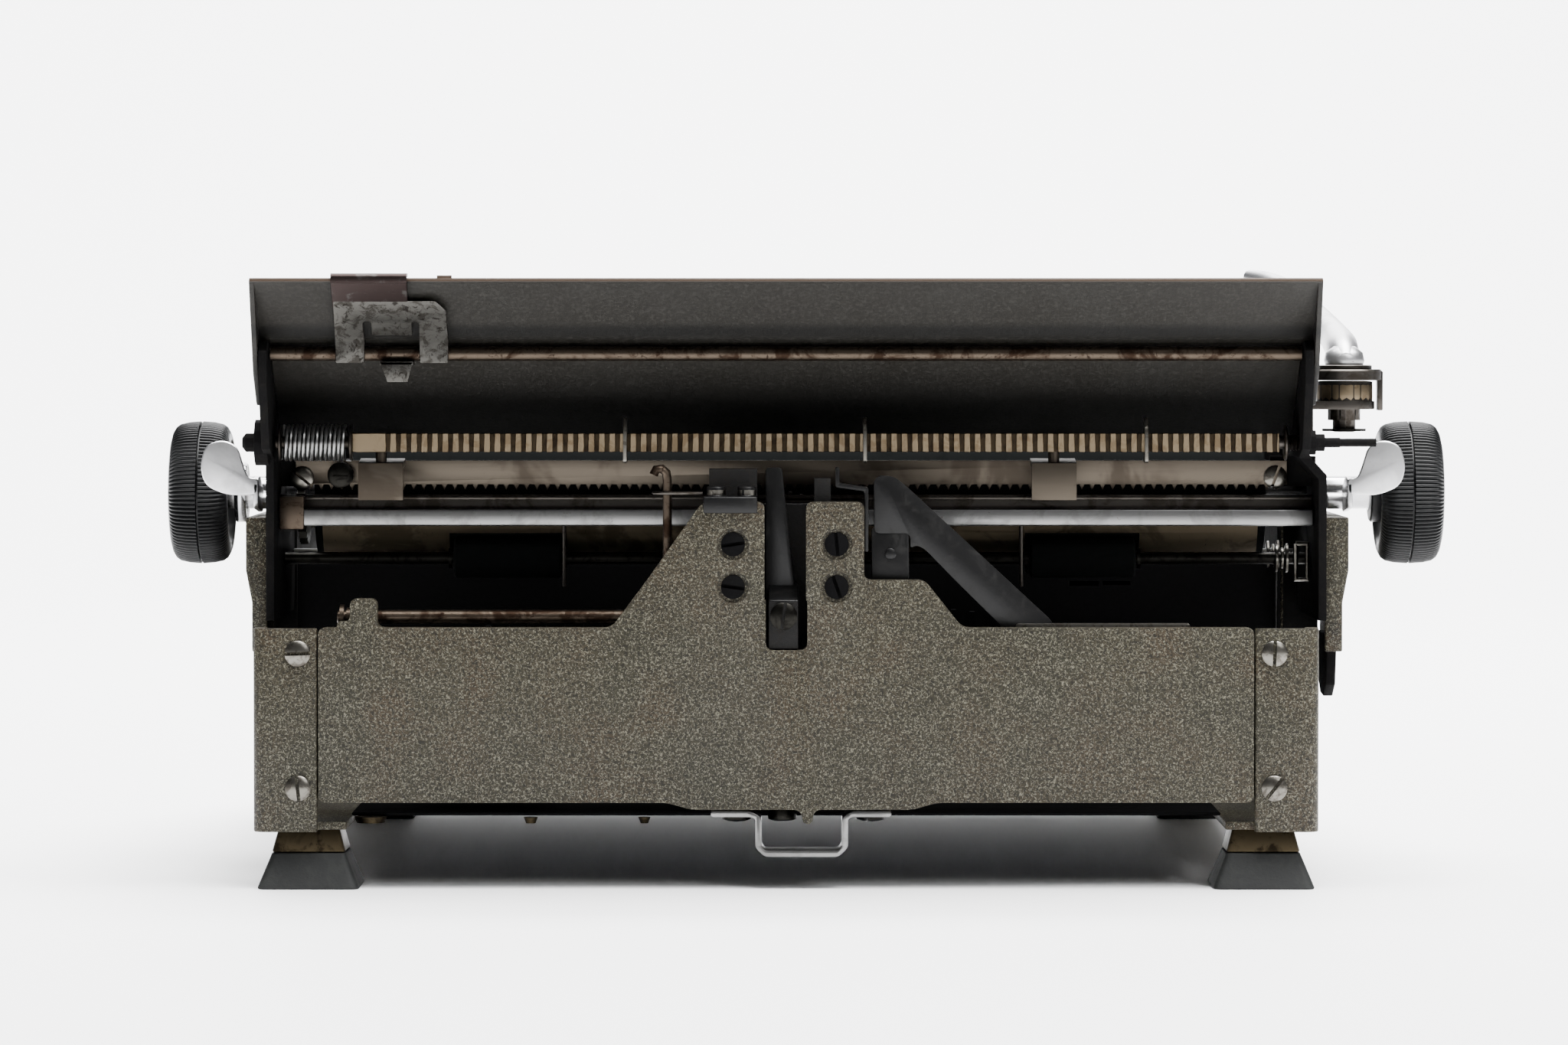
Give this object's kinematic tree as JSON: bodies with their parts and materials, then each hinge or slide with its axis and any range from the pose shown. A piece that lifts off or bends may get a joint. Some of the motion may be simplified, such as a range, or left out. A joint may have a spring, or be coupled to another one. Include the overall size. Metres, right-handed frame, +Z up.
{
  "type": "portable typewriter",
  "caption": "Portable typewriter with a sliding carriage, a turning platen, a hinged ribbon hood and banks of round keys.",
  "frame": {"origin": "bottom centre of the machine's box at rest, on the surface it stands on", "axes": "+X towards the typist's left hand (the return lever's side), +Y from the rear casting towards the keyboard, +Z up"},
  "size_m": [0.3172, 0.2996, 0.1513],
  "materials": {
    "hammertone_paint": "hammered paint",
    "black_steel": "black lacquer",
    "bright_chrome": "polished, worn",
    "nickel_screw": "nickel plated",
    "worn_steel": "worn",
    "rusty_steel": "rusted",
    "tan_brass": "dull",
    "rubber": "matte",
    "bakelite": "polished",
    "ribbon_cloth": "inked cloth"
  },
  "bodies": {
    "body": {"rear_casting": "hammertone_paint", "left_side_panel": "hammertone_paint", "right_side_panel": "hammertone_paint", "base_pan": "black_steel", "front_apron": "hammertone_paint", "rear_left_foot": "rubber", "rear_right_foot": "rubber", "front_left_foot": "rubber", "front_right_foot": "rubber", "case_latch_loop": "nickel_screw", "bearing_block": "black_steel", "tower_cap_plate": "black_steel", "slot_leaf": "black_steel", "hook_rod": "rusty_steel", "hairpin_spring": "worn_steel", "keeper_strip": "black_steel", "guide_plate": "black_steel", "tie_rod": "rusty_steel", "type_basket": "worn_steel", "ribbon": "ribbon_cloth", "key_fulcrum_rod": "worn_steel"},
    "escapement": {"escapement_wheel": "worn_steel"},
    "mainspring": {"mainspring_drum": "worn_steel"},
    "left_spool": {"left_ribbon_spool": "ribbon_cloth"},
    "right_spool": {"right_ribbon_spool": "ribbon_cloth"},
    "hood": {"ribbon_hood": "hammertone_paint"},
    "number_bank": {"number_keys": "bakelite"},
    "upper_bank": {"upper_keys": "bakelite"},
    "home_bank": {"home_keys": "bakelite"},
    "lower_bank": {"lower_keys": "bakelite"},
    "space": {"space_bar": "bakelite"},
    "shift": {"shift_keys": "bakelite"},
    "backspace": {"backspace_key": "bakelite"},
    "tabulator": {"tabulator_key": "bakelite"},
    "carriage": {"left_end_plate": "black_steel", "right_end_plate": "black_steel", "left_end_cover": "hammertone_paint", "right_end_cover": "hammertone_paint", "carriage_blade": "black_steel", "escapement_rack": "worn_steel", "carriage_rail": "bright_chrome", "left_rack_clip": "worn_steel", "right_rack_clip": "worn_steel", "tab_rack_spring": "worn_steel", "margin_rod": "rusty_steel", "paper_table": "hammertone_paint", "paper_pan": "tan_brass", "lever_bracket": "tan_brass"},
    "tab_gear": {"tab_rack": "tan_brass"},
    "margin_stop": {"margin_stop": "worn_steel"},
    "platen_roller": {"platen": "rubber", "platen_shaft": "bright_chrome", "left_platen_knob": "bakelite", "right_platen_knob": "bakelite"},
    "rear_feed": {"rear_feed_rollers": "rubber"},
    "front_feed": {"front_feed_rollers": "rubber"},
    "return_lever": {"return_lever": "bright_chrome"},
    "left_release": {"left_release_lever": "bright_chrome"},
    "right_release": {"right_release_lever": "bright_chrome"},
    "bail": {"paper_bail": "bright_chrome"}
  },
  "joints": [
    {"name": "carriage_travel", "type": "slide", "parent": "body", "child": "carriage", "axis": [1, 0, 0], "range_m": [-0.095, 0.095]},
    {"name": "escapement_turn", "type": "hinge", "parent": "body", "child": "escapement", "pos_m": [-0.00505, -0.0987, 0.084], "axis": [0, 1, 0], "range_deg": [-565, 565]},
    {"name": "mainspring_turn", "type": "hinge", "parent": "body", "child": "mainspring", "pos_m": [-0.07505, -0.1192, 0.038], "axis": [0, 1, 0], "range_deg": [-400, 400]},
    {"name": "left_spool_turn", "type": "hinge", "parent": "body", "child": "left_spool", "pos_m": [0.08295, 0.0008, 0.063], "axis": [0, 0, 1], "continuous": true},
    {"name": "right_spool_turn", "type": "hinge", "parent": "body", "child": "right_spool", "pos_m": [-0.09305, 0.0008, 0.063], "axis": [0, 0, 1], "continuous": true},
    {"name": "hood_open", "type": "hinge", "parent": "body", "child": "hood", "pos_m": [-0.00505, 0.0408, 0.08], "axis": [-1, 0, 0], "range_deg": [0, 80]},
    {"name": "number_press", "type": "hinge", "parent": "body", "child": "number_bank", "pos_m": [-0.00505, -0.0272, 0.033], "axis": [-1, 0, 0], "range_deg": [0, 5], "stiffness_Nm_per_rad": 2, "springref_deg": -11.46},
    {"name": "upper_press", "type": "hinge", "parent": "body", "child": "upper_bank", "pos_m": [-0.00505, -0.0272, 0.033], "axis": [-1, 0, 0], "range_deg": [0, 5], "stiffness_Nm_per_rad": 2, "springref_deg": -11.46},
    {"name": "home_press", "type": "hinge", "parent": "body", "child": "home_bank", "pos_m": [-0.00505, -0.0272, 0.033], "axis": [-1, 0, 0], "range_deg": [0, 3.3], "stiffness_Nm_per_rad": 2, "springref_deg": -11.46},
    {"name": "lower_press", "type": "hinge", "parent": "body", "child": "lower_bank", "pos_m": [-0.00505, -0.0272, 0.033], "axis": [-1, 0, 0], "range_deg": [0, 4], "stiffness_Nm_per_rad": 2, "springref_deg": -11.46},
    {"name": "space_press", "type": "hinge", "parent": "body", "child": "space", "pos_m": [-0.00505, -0.0272, 0.033], "axis": [-1, 0, 0], "range_deg": [0, 3.5], "stiffness_Nm_per_rad": 2, "springref_deg": -11.46},
    {"name": "shift_press", "type": "hinge", "parent": "body", "child": "shift", "pos_m": [-0.00505, -0.0272, 0.033], "axis": [-1, 0, 0], "range_deg": [0, 4], "stiffness_Nm_per_rad": 2, "springref_deg": -11.46},
    {"name": "backspace_press", "type": "hinge", "parent": "body", "child": "backspace", "pos_m": [-0.00505, -0.0272, 0.033], "axis": [-1, 0, 0], "range_deg": [0, 5], "stiffness_Nm_per_rad": 2, "springref_deg": -11.46},
    {"name": "tabulator_press", "type": "hinge", "parent": "body", "child": "tabulator", "pos_m": [-0.00505, -0.0272, 0.033], "axis": [-1, 0, 0], "range_deg": [0, 4.5], "stiffness_Nm_per_rad": 2, "springref_deg": -11.46},
    {"name": "tab_rack_tilt", "type": "hinge", "parent": "carriage", "child": "tab_gear", "pos_m": [-0.00505, -0.1192, 0.1075], "axis": [1, 0, 0], "range_deg": [0, 20]},
    {"name": "margin_stop_slide", "type": "slide", "parent": "carriage", "child": "margin_stop", "axis": [1, 0, 0], "range_m": [-0.014, 0.2]},
    {"name": "platen_turn", "type": "hinge", "parent": "carriage", "child": "platen_roller", "pos_m": [-0.00505, -0.0772, 0.0944], "axis": [1, 0, 0], "continuous": true},
    {"name": "rear_feed_turn", "type": "hinge", "parent": "carriage", "child": "rear_feed", "pos_m": [-0.00505, -0.0912, 0.0784], "axis": [1, 0, 0], "continuous": true},
    {"name": "front_feed_turn", "type": "hinge", "parent": "carriage", "child": "front_feed", "pos_m": [-0.00505, -0.0632, 0.0784], "axis": [1, 0, 0], "continuous": true},
    {"name": "return_lever_swing", "type": "hinge", "parent": "carriage", "child": "return_lever", "pos_m": [0.13225, -0.1042, 0.1175], "axis": [0, 0, 1], "range_deg": [0, 35]},
    {"name": "left_release_press", "type": "hinge", "parent": "carriage", "child": "left_release", "pos_m": [-0.00505, -0.0872, 0.0925], "axis": [-1, 0, 0], "range_deg": [0, 12], "stiffness_Nm_per_rad": 0.2, "springref_deg": -11.46},
    {"name": "right_release_press", "type": "hinge", "parent": "carriage", "child": "right_release", "pos_m": [-0.00505, -0.0872, 0.0925], "axis": [-1, 0, 0], "range_deg": [0, 12], "stiffness_Nm_per_rad": 0.2, "springref_deg": -11.46},
    {"name": "paper_bail_lift", "type": "hinge", "parent": "carriage", "child": "bail", "pos_m": [-0.00505, -0.0732, 0.112], "axis": [1, 0, 0], "range_deg": [0, 60]}
  ],
  "couplings": [
    {"joint": "escapement_turn", "follows": "carriage_travel", "rad_per_m": 103.07},
    {"joint": "mainspring_turn", "follows": "carriage_travel", "rad_per_m": 71.429},
    {"joint": "right_spool_turn", "follows": "left_spool_turn", "ratio": 1},
    {"joint": "rear_feed_turn", "follows": "platen_turn", "ratio": -3.2},
    {"joint": "front_feed_turn", "follows": "platen_turn", "ratio": -3.2}
  ]
}
